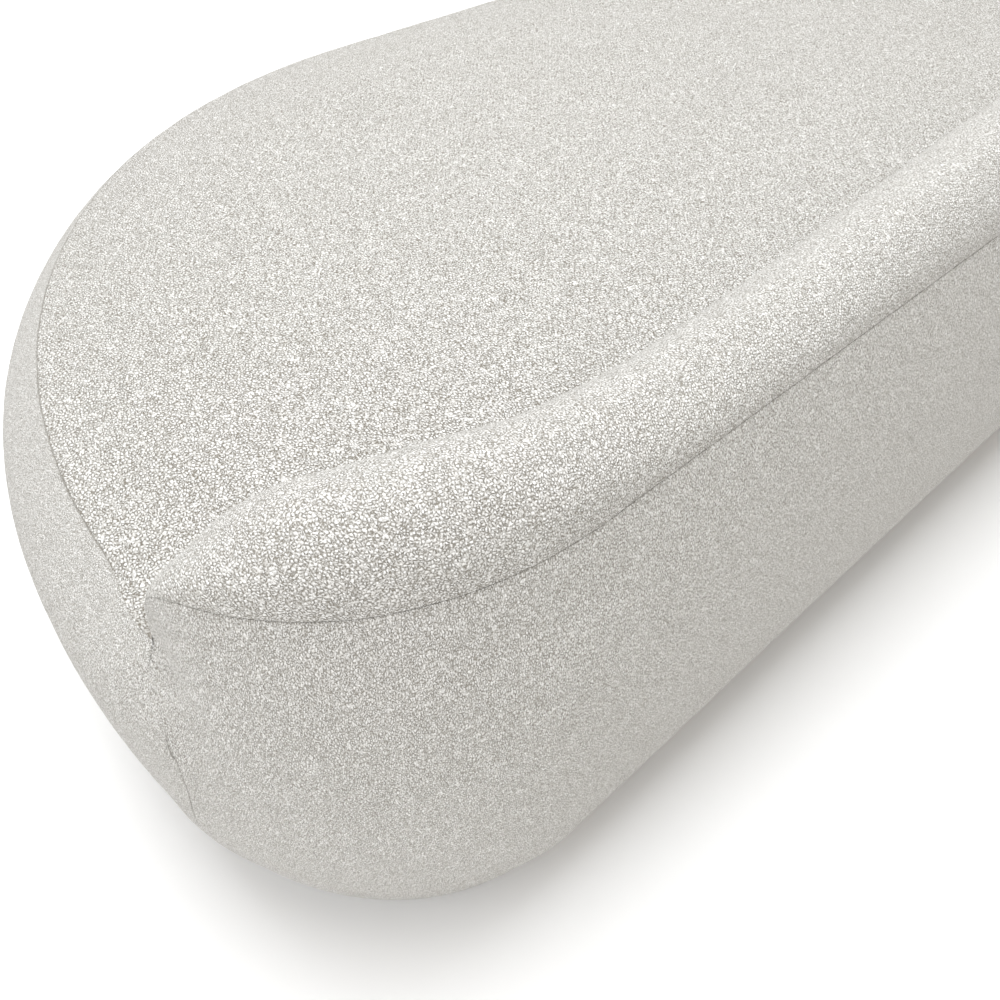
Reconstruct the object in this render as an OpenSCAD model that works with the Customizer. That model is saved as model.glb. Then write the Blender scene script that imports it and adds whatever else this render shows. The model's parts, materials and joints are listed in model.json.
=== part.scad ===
// Low three-seat lounge sofa with a pebble-shaped plan, a tight upholstered seat,
// a low back that wraps the rear corners, and short turned wooden legs.
// Millimetres. +Z up, the front faces -Y, the long side lies along X.
// The origin is on the floor, under the middle of the body.

/* [Plan] */
// Length of the body from end to end, at its widest height
overall_l = 2300; // [2200:10:2600]
// Plan radius of the first eighth of the end, next to the straight back
turn_rear = 270; // [262:2:300]
// Plan radius of the second eighth of the end
turn_side = 295; // [285:5:320]
// Plan radius of the third eighth of the end
turn_cheek = 860; // [820:10:900]
// Plan radius of the last eighth of the end, next to the front
turn_front = 780; // [740:10:820]

/* [Heights] */
// Height of the underside of the body above the floor
under_z = 56; // [50:2:70]
// Height at which the body is widest
girth_z = 312; // [300:2:320]
// Height of the seam round the seat
seam_z = 400; // [396:2:410]
// Height of the middle of the seat
crown_z = 430; // [424:2:440]
// Height of the seam along the top of the outer back
back_z = 513; // [505:1:525]
// Height that the back seam sinks to at the nose, before it drops to the notch
nose_z = 497; // [490:1:505]

/* [Shape] */
// How far the seat seam lies inside the widest outline
shoulder_in = 56; // [50:1:58]
// How far the lower edge lies inside the widest outline
foot_in = 36; // [28:1:40]
// How far the back seam lies inside the widest outline
back_in = 30; // [22:1:34]
// Thickness of the back at the seat, where the straight back ends
back_t = 140; // [136:1:150]
// Extra thickness of the back in the middle of the sofa
back_swell = 36; // [0:2:40]
// Height of the back's crown above its seam, where the straight back ends
crown_rise = 38; // [34:1:46]
// Extra height of the back's crown in the middle of the sofa
crown_swell = 36; // [0:2:50]
// Extra thickness and height of the back round the corners, above the nose
bulb = 25; // [10:1:30]
// Distance round the rim from the straight back to the notch and the upright end seam
nose_s = 378; // [370:2:386]

/* [Frame] */
// Thickness of the plywood rails and ribs
ply_t = 18; // [15:1:21]
// Inset of the plywood rails and ribs from the widest outline
ply_in = 67; // [66:1:69]
// Width of the flat rails
rail_w = 100; // [90:5:120]
// Height of the top of the deck rails, which carry the webbing
deck_z = 270; // [262:2:276]
// Depth of the back ribs, from the outer board to the inner board
rib_d = 44; // [38:1:46]
// Thickness of the bent boards round the body
board_t = 4; // [3:0.5:5]

/* [Legs] */
// Radius of a leg at the top
leg_r = 34; // [28:1:38]
// Radius of a leg at the floor
toe_r = 24; // [20:1:28]
// Distance of the outer rear legs from the middle
rear_leg_x = 760; // [720:10:780]
// Distance of the outer front legs from the middle
front_leg_x = 640; // [620:10:660]
// Inset of the leg centres from the front and the back of the outline
leg_in = 170; // [160:5:180]

/* [Webbing] */
// Number of straps that run from front to back
strap_count = 7; // [5:1:7]
// Width of a strap
strap_w = 60; // [50:5:70]
// Number of straps that run from end to end
long_count = 2; // [2:1:3]

/* [Hidden] */

turns = [turn_rear, turn_side, turn_cheek, turn_front];
eighth = 45;
turn_last = len(turns) - 1;
turn_len = [for (r = turns) r * PI * eighth / 180];
end_s = turn_len[0] + turn_len[1] + turn_len[2] + turn_len[3];
half_d = -turns * [for (k = [0 : turn_last]) cos(eighth * (k + 1)) - cos(eighth * k)] / 2;
rear_x = overall_l / 2 - turn_rear * sin(eighth) - turn_side * (1 - sin(eighth));
front_x = rear_x + turns * [for (k = [0 : turn_last]) sin(eighth * (k + 1)) - sin(eighth * k)];

skin_t = 3;           // upholstery fabric with its backing
gap = 0.4;            // room between soft layers
fleece_t = 4;         // fleece bonded to the back of the fabric
skin_gap = skin_t + fleece_t + gap;
wadding_t = 8;        // polyester wadding over the seat foam
nose_run = 182;       // length of rim over which the back's plan rounds off
nose_roll = 146;      // length of rim over which the nose's crown rounds down
seam_roll = 90;       // length of rim over which the back seam drops to the notch
drop_run = 300;       // length of rim over which the back seam sinks before that
bulb_s = 130;         // place on the rim where the bulb is fullest
bulb_run = 180;       // spread of the bulb along the rim
notch_out = 16;       // how far the seat seam swings out to the notch
notch_run = 120;      // length of rim over which it does so
crown_run = 200;      // inset over which the seat rises from its seam to its middle
crest_in = 50;        // distance from the back seam in to the crest
fullness = 2.15;      // exponent of the inner face of the back
board_in = ply_in - gap - board_t;
foam_in = board_in - gap;
base_z = under_z + 4; // underside of the base rails
rib_z = base_z + ply_t;
deck_low_z = deck_z - ply_t;
web_t = 2.4;
pad_z = deck_z + 2 * web_t + 1;
pad_t = 4;
foam_z = pad_z + pad_t + gap;
wood = "burlywood";
steel = "lightsteelblue";
bolt_r = 4;
screw_r = 2;
plate_t = 2.5;
plate_w = 64;
plate_pitch = 44;

// ---- plan outline, by distance s round the rim from the end of the straight back ----

function heading(s, k = 0) =
    k > turn_last ? 180
    : s <= turn_len[k] ? eighth * k + max(s, 0) / turns[k] * 180 / PI
    : heading(s - turn_len[k], k + 1);

function turned(a, k) = min(max(a, eighth * k), eighth * (k + 1));

// A station is [x, y, outward normal x, outward normal y, s]
function station(s) =
    let (a = heading(s))
    [rear_x + turns * [for (k = [0 : turn_last]) sin(turned(a, k)) - sin(eighth * k)]
        + min(s, 0) - max(s - end_s, 0),
     half_d + turns * [for (k = [0 : turn_last]) cos(turned(a, k)) - cos(eighth * k)],
     sin(a), cos(a), s];

function flipped(list) = [for (i = [len(list) - 1 : -1 : 0])
    [-list[i][0], list[i][1], -list[i][2], list[i][3], list[i][4]]];
function spot(st, p) = [st[0] - p[0] * st[2], st[1] - p[0] * st[3], p[1]];
function spread(a, b, n) = [for (i = [0 : n]) a + (b - a) * i / n];
function stations(list) = [for (s = list) station(s)];

corner_s = nose_s - nose_run;
rear_steps = spread(-rear_x, 0, 5);
corner_steps = spread(0, corner_s, 4);
nose_steps = [for (i = [0 : 7]) corner_s + nose_run * sin(90 * i / 8)];
widest_s = turn_len[0] + turn_len[1];
front_steps = concat([nose_s + 6, nose_s + 20, nose_s + 50], spread(widest_s, end_s, 14));
front_middle = end_s + front_x;

function outline(d) =
    let (half = stations(spread(0, end_s, 28)))
    [for (st = concat(half, flipped(half))) [st[0] - d * st[2], st[1] - d * st[3]]];

// ---- heights and insets of the upholstered surfaces ----

function smooth(t) = let (w = min(max(t, 0), 1)) w * w * (3 - 2 * w);
function arch(t) = let (w = min(max(t, 0), 1)) sqrt(1 - w * w);
function middle(s) = s >= 0 ? 0 : smooth(-s / rear_x);
function bulge(s) = bulb * exp(-pow((s - bulb_s) / bulb_run, 2));
function shoulder(s) = shoulder_in - notch_out * (1 - smooth((s - nose_s) / notch_run));

function band_inset(s, z) =
    z >= seam_z ? shoulder(s)
    : z >= girth_z ? shoulder(s) * pow((z - girth_z) / (seam_z - girth_z), 2)
    : foot_in * pow((girth_z - z) / (girth_z - under_z), 2.5);

function wall_inset(s, z) =
    let (b = smooth((s - nose_s + seam_roll) / seam_roll),
         up = max(z - girth_z, 0) / (back_z - girth_z))
    z <= girth_z ? band_inset(s, z) : (1 - b) * back_in * up * up + b * band_inset(s, z);

function full_height(s) = back_z - (back_z - nose_z) * smooth(s / drop_run);
function seam_height(s) =
    seam_z + (full_height(s) - seam_z) * arch((s - nose_s + seam_roll) / seam_roll);

function foot_inset(s, g = 0) =
    s >= nose_s + g ? shoulder(s)
    : shoulder(s) + (back_t + back_swell * middle(s) + bulge(s) - shoulder(s))
        * arch((s - corner_s) / (nose_run + g));

function seat_height(d) =
    crown_z - (crown_z - seam_z) * pow(1 - min(max(d - shoulder_in, 0) / crown_run, 1), 2);

function crest_height(s) =
    seam_z + (full_height(s) + crown_rise + crown_swell * middle(s) + bulge(s) - seam_z)
        * arch((s - nose_s + nose_roll) / nose_roll);

// Outer surface of the back in section: t runs 0 to 1 over the crown, 1 to 2 down the inside
function back_point(s, t, skin) =
    let (h = seam_height(s),
         a = wall_inset(s, h),
         c = min(crest_in, (foot_inset(s) - a) / 2),
         r = max(crest_height(s) - h, 0.2 * (h - seam_z)),
         z0 = seat_height(foot_inset(s)) - 14,
         w = foot_inset(s) - a - c,
         p = 2 / fullness)
    t <= 1
    ? [a + skin + (c - skin) * (1 - cos(90 * t)), h + (r - skin) * sin(90 * t)]
    : [a + c + (w - skin) * pow(sin(90 * (t - 1)), p),
       z0 + (h + r - skin - z0) * pow(max(cos(90 * (t - 1)), 0), p)];

// ---- lofted solids ----

function quad(a, b, c, d) = [[a, b, c], [a, c, d]];

// A wall between two chains of points, swept through stations; flat ends unless it is a ring
module strip(outer, inner) {
    n = len(outer);
    m = len(outer[0]);
    k = n * m;
    faces = concat(
        [for (i = [0 : n - 2]) for (j = [0 : m - 2]) for (f = quad(
            i * m + j, i * m + j + 1, (i + 1) * m + j + 1, (i + 1) * m + j)) f],
        [for (i = [0 : n - 2]) for (j = [0 : m - 2]) for (f = quad(
            k + i * m + j, k + (i + 1) * m + j, k + (i + 1) * m + j + 1, k + i * m + j + 1)) f],
        [for (i = [0 : n - 2]) for (f = quad(
            i * m, (i + 1) * m, k + (i + 1) * m, k + i * m)) f],
        [for (i = [0 : n - 2]) for (f = quad(
            i * m + m - 1, k + i * m + m - 1, k + (i + 1) * m + m - 1, (i + 1) * m + m - 1)) f],
        [for (j = [0 : m - 2]) for (f = quad(j, k + j, k + j + 1, j + 1)) f],
        [for (j = [0 : m - 2]) for (f = quad(
            k - m + j, k - m + j + 1, 2 * k - m + j + 1, 2 * k - m + j)) f]);
    polyhedron(points = concat([for (row = outer) for (p = row) p],
        [for (row = inner) for (p = row) p]), faces = faces);
}

// A closed stack of loops, with a flat fan on the first and on the last
module stack(loops) {
    n = len(loops);
    m = len(loops[0]);
    low = n * m;
    high = low + 1;
    faces = concat(
        [for (i = [0 : m - 1]) [i, (i + 1) % m, low]],
        [for (k = [0 : n - 2]) for (i = [0 : m - 1]) for (f = quad(
            k * m + i, (k + 1) * m + i, (k + 1) * m + (i + 1) % m, k * m + (i + 1) % m)) f],
        [for (i = [0 : m - 1]) [(n - 1) * m + (i + 1) % m, (n - 1) * m + i, high]]);
    polyhedron(points = concat([for (loop = loops) for (p = loop) p],
        [[0, 0, loops[0][0][2]], [0, 0, loops[n - 1][0][2]]]), faces = faces);
}

module sweep(list, outer, inner) {
    strip([for (i = [0 : len(list) - 1]) [for (p = outer[i]) spot(list[i], p)]],
          [for (i = [0 : len(list) - 1]) [for (p = inner[i]) spot(list[i], p)]]);
}

// ---- legs and their fittings ----

leg_spots = [
    [-front_leg_x, -half_d + leg_in + 58], [0, -half_d + leg_in], [front_leg_x, -half_d + leg_in + 58],
    [-rear_leg_x, half_d - leg_in], [0, half_d - leg_in], [rear_leg_x, half_d - leg_in]
];
glide_t = 4;
glide_r = toe_r - 5;
leg_top_z = base_z - plate_t;
bolt_low_z = leg_top_z - 32;
bolt_high_z = rib_z + 24;
block_w = 104;
block_t = 40;

module leg(i) {
    color(wood) translate([leg_spots[i][0], leg_spots[i][1], 0]) difference() {
        rotate_extrude($fn = 64) polygon([
            [0, glide_t], [toe_r - 3, glide_t], [toe_r, glide_t + 3],
            [leg_r, leg_top_z - 3], [leg_r - 2, leg_top_z], [0, leg_top_z]]);
        translate([0, 0, bolt_low_z]) cylinder(h = base_z, r = bolt_r, $fn = 32);
    }
}

module leg_glides() {
    color("dimgray") for (p = leg_spots) translate([p[0], p[1], 0])
        rotate_extrude($fn = 64) polygon([
            [0, 0], [glide_r - 1.5, 0], [glide_r, 1.5], [glide_r, glide_t], [0, glide_t]]);
}

module leg_hanger_bolts() {
    color(steel) for (p = leg_spots) translate([p[0], p[1], bolt_low_z])
        cylinder(h = bolt_high_z - bolt_low_z, r = bolt_r, $fn = 32);
}

module plate_corners(p) {
    for (x = [-1, 1]) for (y = [-1, 1])
        translate([p[0] + x * plate_pitch / 2, p[1] + y * plate_pitch / 2, 0]) children();
}

module leg_plates() {
    color(steel) for (p = leg_spots) difference() {
        translate([p[0] - plate_w / 2, p[1] - plate_w / 2, leg_top_z]) cube([plate_w, plate_w, plate_t]);
        translate([p[0], p[1], 0]) cylinder(h = base_z + 1, r = bolt_r, $fn = 32);
        plate_corners(p) cylinder(h = base_z + 1, r = screw_r, $fn = 32);
    }
}

screw_l = 30;
screw_head_t = 1.6;

module leg_plate_screws() {
    color("silver") for (p = leg_spots) plate_corners(p) {
        translate([0, 0, leg_top_z]) cylinder(h = screw_l, r = screw_r, $fn = 32);
        translate([0, 0, leg_top_z - screw_head_t]) cylinder(h = screw_head_t, r = 3.6, $fn = 32);
    }
}

module leg_bores() {
    for (p = leg_spots) {
        translate([p[0], p[1], 0]) cylinder(h = bolt_high_z, r = bolt_r, $fn = 32);
        plate_corners(p) cylinder(h = leg_top_z + screw_l, r = screw_r, $fn = 32);
    }
}

module leg_blocks() {
    color(wood) for (p = leg_spots) difference() {
        translate([p[0] - block_w / 2, p[1] - block_w / 2, rib_z]) cube([block_w, block_w, block_t]);
        leg_bores();
    }
}

// ---- plywood frame ----

rear_half_l = 840;
front_half_l = 720;
far = 2 * overall_l;

module plan_solid(d, z, t) {
    translate([0, 0, z]) linear_extrude(t) polygon(outline(d));
}

module ring(z) {
    difference() {
        plan_solid(ply_in, z, ply_t);
        plan_solid(ply_in + rail_w, z - 1, ply_t + 2);
    }
}

base_ring_w = 180;

module base_ring() {
    difference() {
        plan_solid(ply_in, base_z, ply_t);
        plan_solid(ply_in + base_ring_w, base_z - 1, ply_t + 2);
        leg_bores();
    }
}

module front_zone(g = 0) {
    translate([-front_half_l - g, -far, 0]) cube([2 * (front_half_l + g), far, far]);
}

module rear_zone(g = 0) {
    translate([-rear_half_l - g, 0, 0]) cube([2 * (rear_half_l + g), far, far]);
}

module end_zone(side) {
    difference() {
        translate([side > 0 ? 0 : -far, -far, 0]) cube([far, 2 * far, far]);
        front_zone(0.2);
        rear_zone(0.2);
    }
}

module base_rail_front() {
    color(wood) intersection() { base_ring(); front_zone(); }
}

module base_rail_rear() {
    color(wood) intersection() { base_ring(); rear_zone(); }
}

module base_end(side) {
    color(wood) intersection() { base_ring(); end_zone(side); }
}

module deck_rail_front() {
    color(wood) intersection() { ring(deck_low_z); front_zone(); }
}

module deck_rail_rear() {
    color(wood) intersection() { ring(deck_low_z); rear_zone(); }
}

module deck_end(side) {
    color(wood) intersection() { ring(deck_low_z); end_zone(side); }
}

frame_rib_x = [-900, -500, -190, 190, 500, 900];

module frame_rib(i) {
    color(wood) intersection() {
        translate([frame_rib_x[i] - ply_t / 2, -half_d, rib_z])
            cube([ply_t, 2 * half_d - ply_in - ply_t - 0.2, deck_low_z - rib_z]);
        plan_solid(ply_in, rib_z, deck_low_z - rib_z);
    }
}

module rear_apron() {
    color(wood) translate([-rear_x + 6, half_d - ply_in - ply_t, rib_z])
        cube([2 * (rear_x - 6), ply_t, deck_low_z - rib_z]);
}

// ---- back frame ----

top_drop = 7;
rib_s = [-rear_x, -rear_x + 440, 20, 210];
back_rib_spots = concat([for (i = [3 : -1 : 1]) [-1, rib_s[i]]], [for (i = [0 : 3]) [1, rib_s[i]]]);

module back_rib(i) {
    side = back_rib_spots[i][0];
    st = station(back_rib_spots[i][1]);
    low = seam_height(st[4] + ply_t) - top_drop - ply_t - 1;
    color(wood) translate([side * st[0], st[1], 0])
        rotate([0, 0, -side * heading(st[4])])
        translate([-ply_t / 2, -ply_in - rib_d, deck_z])
        cube([ply_t, rib_d, low - deck_z]);
}

module back_top_rail() {
    color(wood) translate([-rear_x, half_d - ply_in - rib_d, back_z - top_drop - ply_t])
        cube([2 * rear_x, rib_d, ply_t]);
}

end_rail_s = 230;

module back_top_end(side) {
    right = stations(spread(0.4, end_rail_s, 8));
    list = side > 0 ? right : flipped(right);
    tops = [for (st = list) seam_height(st[4]) - top_drop];
    color(wood) sweep(list,
        [for (z = tops) [[ply_in, z - ply_t], [ply_in, z]]],
        [for (z = tops) [[ply_in + rib_d, z - ply_t], [ply_in + rib_d, z]]]);
}

// ---- bent boards ----

half_band = stations(concat([nose_s + 1], front_steps, [front_middle]));
band_list = concat(half_band, flipped([for (i = [0 : len(half_band) - 2]) half_band[i]]));
function whole_back(half) = concat(flipped([for (i = [1 : len(half) - 1]) half[i]]), half);
corner_half = concat(rear_steps, [for (i = [1 : 4]) corner_steps[i]]);
back_list = whole_back(stations(concat(corner_half, [for (i = [1 : 7]) nose_steps[i]],
    [nose_s - 1])));
board_list = whole_back(stations(concat(corner_half, [for (i = [1 : 6]) nose_steps[i]])));

module board(list, lows, tops, d) {
    color("tan") sweep(list,
        [for (i = [0 : len(list) - 1]) [[d, lows[i]], [d, tops[i]]]],
        [for (i = [0 : len(list) - 1]) [[d + board_t, lows[i]], [d + board_t, tops[i]]]]);
}

board_low_z = base_z + 2;
band_board_top = 380;

module band_board() {
    board(band_list, [for (st = band_list) board_low_z], [for (st = band_list) band_board_top], board_in);
}

module outer_back_board() {
    board(board_list, [for (st = board_list) board_low_z],
        [for (st = board_list) max(seam_height(st[4]) - 12, band_board_top)], board_in);
}

module inner_back_board() {
    list = whole_back(stations(concat(corner_half, [end_rail_s])));
    board(list, [for (st = list) foam_z], [for (st = list) seam_height(st[4]) - 14],
        ply_in + rib_d + gap);
}

// ---- webbing and deck pad ----

strap_end_in = ply_in + 20;
strap_pitch = 1500 / strap_count;
long_pitch = 180;

module webbing_cross() {
    color("saddlebrown") intersection() {
        for (i = [0 : strap_count - 1])
            translate([(i - (strap_count - 1) / 2) * strap_pitch - strap_w / 2, -half_d, deck_z])
            cube([strap_w, 2 * half_d - ply_in - rib_d - 30, web_t]);
        plan_solid(strap_end_in, deck_z, web_t);
    }
}

module webbing_long() {
    low = deck_z + web_t;
    color("saddlebrown") intersection() {
        for (i = [0 : long_count - 1])
            translate([-far / 2, -long_pitch * (1 - i * 2 / long_count) - strap_w / 2, low])
            cube([far, strap_w, web_t]);
        plan_solid(strap_end_in, low, web_t);
    }
}

inner_board_in = ply_in + rib_d + gap + board_t;
pad_in = inner_board_in + 2;

module deck_pad() {
    color("gainsboro") plan_solid(pad_in, pad_z, pad_t);
}

// ---- foam ----

half_ring = stations(concat(rear_steps, [for (i = [1 : 4]) corner_steps[i]],
    [for (i = [1 : 7]) nose_steps[i]], [nose_s], front_steps));
ring_list = concat(half_ring, flipped([for (i = [1 : len(half_ring) - 1]) half_ring[i]]));
flat_in = shoulder_in + crown_run + 4;

// A loop at a share t of the way from the seat's edge to its flat middle, sunk by a depth
function seat_loop(t, sunk, edge, g) = [for (st = ring_list)
    let (b = foot_inset(st[4], g) + edge, d = b + (flat_in - b) * t)
    spot(st, [d, seat_height(d) - sunk])];
function seat_wall_loop(z, edge, g) = [for (st = ring_list)
    spot(st, [foot_inset(st[4], g) + edge, z])];
seat_shares = [0, 0.12, 0.28, 0.5, 0.75, 1];

module seat_foam() {
    sunk = skin_gap + wadding_t + gap;
    edge = ply_in - shoulder_in + notch_out + gap;
    color("khaki") stack(concat(
        [seat_wall_loop(foam_z, edge, edge)],
        [for (t = seat_shares) seat_loop(t, sunk, edge, edge)]));
}

module seat_layer(sunk, thick, edge) {
    stack(concat(
        [for (i = [len(seat_shares) - 1 : -1 : 0]) seat_loop(seat_shares[i], sunk + thick, edge, edge)],
        [for (t = seat_shares) seat_loop(t, sunk, edge, edge)]));
}

module seat_wadding() {
    color("white") seat_layer(skin_gap, wadding_t, 5);
}

low_foam_z = base_z + 2;
band_top_z = 390;

band_split_s = 1250;
band_end_list = stations(concat([nose_s + 1], [for (s = front_steps) if (s < band_split_s - 20) s],
    [band_split_s]));
band_front_half = stations(concat([band_split_s + 0.5],
    [for (s = front_steps) if (s > band_split_s + 20) s], [front_middle]));
band_front_list = concat(band_front_half,
    flipped([for (i = [0 : len(band_front_half) - 2]) band_front_half[i]]));

module band_foam(list) {
    levels = concat(spread(low_foam_z, girth_z, 4), [340, 365, band_top_z]);
    color("khaki") sweep(list,
        [for (st = list) [for (z = levels) [band_inset(st[4], z) + skin_gap, z]]],
        [for (st = list) [for (z = levels) [foam_in, z]]]);
}

module band_foam_end(side) { band_foam(side > 0 ? band_end_list : flipped(band_end_list)); }

// Heights up a wall that ends at a height h, close together where the wall curves in
function wall_levels(low, h) = concat(low, [girth_z, 340, 365, 385, seam_z, (seam_z + h) / 2, h]);

module outer_foam(list) {
    levels = [for (st = list) wall_levels([low_foam_z, 145, 230], seam_height(st[4]) - 6)];
    color("khaki") sweep(list,
        [for (i = [0 : len(list) - 1]) [for (z = levels[i]) [wall_inset(list[i][4], z) + skin_gap, z]]],
        [for (i = [0 : len(list) - 1]) [for (z = levels[i]) [foam_in, z]]]);
}

straight_list = concat([[-rear_x, half_d, 0, 1, 0]], [[rear_x, half_d, 0, 1, 0]]);
end_foam_list = stations(concat([1], [for (i = [1 : 4]) corner_steps[i]],
    [for (i = [1 : 6]) nose_steps[i]]));

module outer_foam_middle() { outer_foam(straight_list); }
module outer_foam_end(side) { outer_foam(side > 0 ? end_foam_list : flipped(end_foam_list)); }

crown_shares = [0, 0.3, 0.6, 1, 1.35, 1.65, 1.85];

module back_foam(list) {
    outer = [for (st = list) concat(
        [for (t = crown_shares) back_point(st[4], t, skin_gap)],
        [[foot_inset(st[4]) - skin_gap, foam_z]])];
    inner = [for (st = list) let (h = seam_height(st[4]) - 5, d = inner_board_in + gap,
            a = wall_inset(st[4], h) + skin_gap + 4)
        [[a, h], [a + 20, h], [a + 45, h], [d - 20, h], [d, h], [d, h - 40], [d, h - 90], [d, foam_z]]];
    color("khaki") sweep(list, outer, inner);
}

back_middle_list = whole_back(stations(rear_steps));
back_end_list = stations(concat([1], [for (i = [1 : 4]) corner_steps[i]], [end_rail_s + 4]));
nose_list = stations(concat([end_rail_s + 6], [for (i = [2 : 6]) nose_steps[i]]));

module back_foam_middle() { back_foam(back_middle_list); }
module back_foam_end(side) { back_foam(side > 0 ? back_end_list : flipped(back_end_list)); }

module nose_foam(side) {
    list = side > 0 ? nose_list : flipped(nose_list);
    outer = [for (st = list) concat(
        [for (t = crown_shares) back_point(st[4], t, skin_gap)],
        [[foot_inset(st[4]) - skin_gap, foam_z]])];
    inner = [for (st = list) let (h = max(seam_height(st[4]) - 5, band_board_top + 1),
            a = wall_inset(st[4], h) + skin_gap + 4, d = ply_in + gap)
        [[a, h], [a + 2, h], [a + 4, h], [d - 2, h], [d, h], [d, h - 20], [d, h - 40], [d, foam_z]]];
    color("khaki") sweep(list, outer, inner);
}

// ---- covers ----

hem_in = 130;
cloth = "ivory";

module seat_cover() {
    color(cloth) seat_layer(0, skin_t, 0.5);
}

function hem_outer() = [[hem_in, under_z], [foot_in + 8, under_z], [foot_in + 2, under_z + 2]];
function hem_inner() = [[hem_in, under_z + skin_t], [foot_in + 10, under_z + skin_t],
    [foot_in + 2 + skin_t, under_z + skin_t + 1]];

module band_cover() {
    levels = [90, 150, 230, girth_z, 340, 365, 385, seam_z];
    color(cloth) sweep(band_list,
        [for (st = band_list) concat(hem_outer(), [for (z = levels) [band_inset(st[4], z), z]])],
        [for (st = band_list) concat(hem_inner(), [for (z = levels) [band_inset(st[4], z) + skin_t, z]])]);
}

module outer_back_cover() {
    levels = [for (st = back_list) wall_levels([90, 170, 250], seam_height(st[4]))];
    color(cloth) sweep(back_list,
        [for (i = [0 : len(back_list) - 1]) concat(hem_outer(),
            [for (z = levels[i]) [wall_inset(back_list[i][4], z), z]])],
        [for (i = [0 : len(back_list) - 1]) concat(hem_inner(),
            [for (z = levels[i]) [wall_inset(back_list[i][4], z) + skin_t, z]])]);
}

module back_cover() {
    shares = [0.06, 0.3, 0.6, 1, 1.25, 1.5, 1.7, 1.85, 1.95, 2];
    color(cloth) sweep(back_list,
        [for (st = back_list) [for (t = shares) back_point(st[4], t, 0)]],
        [for (st = back_list) [for (t = shares) back_point(st[4], t, skin_t)]]);
}

dust_t = 1;
dust_in = foot_in + 60;

module dust_cover() {
    color("#222222") difference() {
        plan_solid(dust_in, under_z - dust_t - 0.2, dust_t);
        for (p = leg_spots) translate([p[0], p[1], 0]) cylinder(h = base_z, r = leg_r + 14, $fn = 48);
    }
}

leg(0);  // leg_front_left
leg(1);  // leg_front_centre
leg(2);  // leg_front_right
leg(3);  // leg_rear_left
leg(4);  // leg_rear_centre
leg(5);  // leg_rear_right
leg_glides();
leg_hanger_bolts();
leg_plates();
leg_plate_screws();
leg_blocks();
base_rail_front();
base_rail_rear();
base_end(-1);  // base_end_left
base_end(1);  // base_end_right
for (i = [0 : 5]) frame_rib(i);
rear_apron();
deck_rail_front();
deck_rail_rear();
deck_end(-1);  // deck_end_left
deck_end(1);  // deck_end_right
for (i = [0 : 6]) back_rib(i);
back_top_rail();
back_top_end(-1);  // back_top_end_left
back_top_end(1);  // back_top_end_right
band_board();
outer_back_board();
inner_back_board();
webbing_cross();
webbing_long();
deck_pad();
seat_foam();
seat_wadding();
band_foam(band_front_list);  // band_foam_front
band_foam_end(-1);  // band_foam_left
band_foam_end(1);  // band_foam_right
outer_foam_middle();
outer_foam_end(-1);  // outer_foam_left
outer_foam_end(1);  // outer_foam_right
back_foam_middle();
back_foam_end(-1);  // back_foam_left
back_foam_end(1);  // back_foam_right
nose_foam(-1);  // nose_foam_left
nose_foam(1);  // nose_foam_right
seat_cover();
band_cover();
back_cover();
outer_back_cover();
dust_cover();
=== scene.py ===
import json
import math

import bpy
import numpy as np
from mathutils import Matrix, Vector, noise


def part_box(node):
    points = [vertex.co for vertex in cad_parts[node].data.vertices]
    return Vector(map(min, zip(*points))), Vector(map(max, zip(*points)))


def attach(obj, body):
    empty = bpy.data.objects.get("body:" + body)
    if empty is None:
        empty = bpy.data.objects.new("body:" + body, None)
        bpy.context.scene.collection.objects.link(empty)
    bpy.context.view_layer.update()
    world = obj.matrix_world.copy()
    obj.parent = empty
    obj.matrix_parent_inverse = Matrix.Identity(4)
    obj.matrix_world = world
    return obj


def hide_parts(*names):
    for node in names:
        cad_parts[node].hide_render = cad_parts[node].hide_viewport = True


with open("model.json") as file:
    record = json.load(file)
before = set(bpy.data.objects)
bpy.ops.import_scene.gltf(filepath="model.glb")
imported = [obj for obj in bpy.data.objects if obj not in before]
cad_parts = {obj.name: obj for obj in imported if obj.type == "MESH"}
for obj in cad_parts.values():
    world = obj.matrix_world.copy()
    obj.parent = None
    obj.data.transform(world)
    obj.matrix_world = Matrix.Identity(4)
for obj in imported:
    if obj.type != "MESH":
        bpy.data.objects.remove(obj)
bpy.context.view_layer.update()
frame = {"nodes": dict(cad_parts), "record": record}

scene = bpy.context.scene

# ---- the sofa's driving sizes, in metres, as the frame holds them ----

TURNS = (0.270, 0.295, 0.860, 0.780)      # plan radii of the four eighths of each end
EIGHTH = math.pi / 4
HALF_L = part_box("band_cover")[1].x
UNDER_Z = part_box("band_cover")[0].z
SEAM_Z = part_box("band_cover")[1].z
CROWN_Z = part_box("seat_cover")[1].z
BACK_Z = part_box("outer_back_cover")[1].z
GIRTH_Z = 0.312                           # height of the widest line round the body
NOSE_Z = BACK_Z - 0.016                   # height of the back's seam once it has dropped
SHOULDER_IN = 0.056                       # insets of the seat seam, the hem and the back seam
FOOT_IN = 0.036
BACK_IN = 0.030
BACK_T = 0.140                            # thickness of the back, and its growth at the middle
BACK_SWELL = 0.036
CROWN_RISE = 0.038                        # rise of the back over its seam, and its growth
CROWN_SWELL = 0.036
BULB, BULB_S, BULB_RUN = 0.025, 0.130, 0.180   # thicker part of the back round each corner
NOSE_S = 0.378                            # where the back ends, round the rim
NOSE_RUN = 0.182                          # lengths over which it rounds off in plan and height
NOSE_ROLL = 0.146
SEAM_ROLL = 0.090
DROP_RUN = 0.300
NOTCH_OUT, NOTCH_RUN = 0.016, 0.120       # how far the notch stands out from the seat's seam
CROWN_RUN = 0.200                         # width over which the seat rises to its flat middle
CREST_IN = 0.050
FULLNESS = 2.15                           # roundness of the back's inner side
BACK_LOW = 0.014                          # how far the back's cover tucks below the seat
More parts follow.
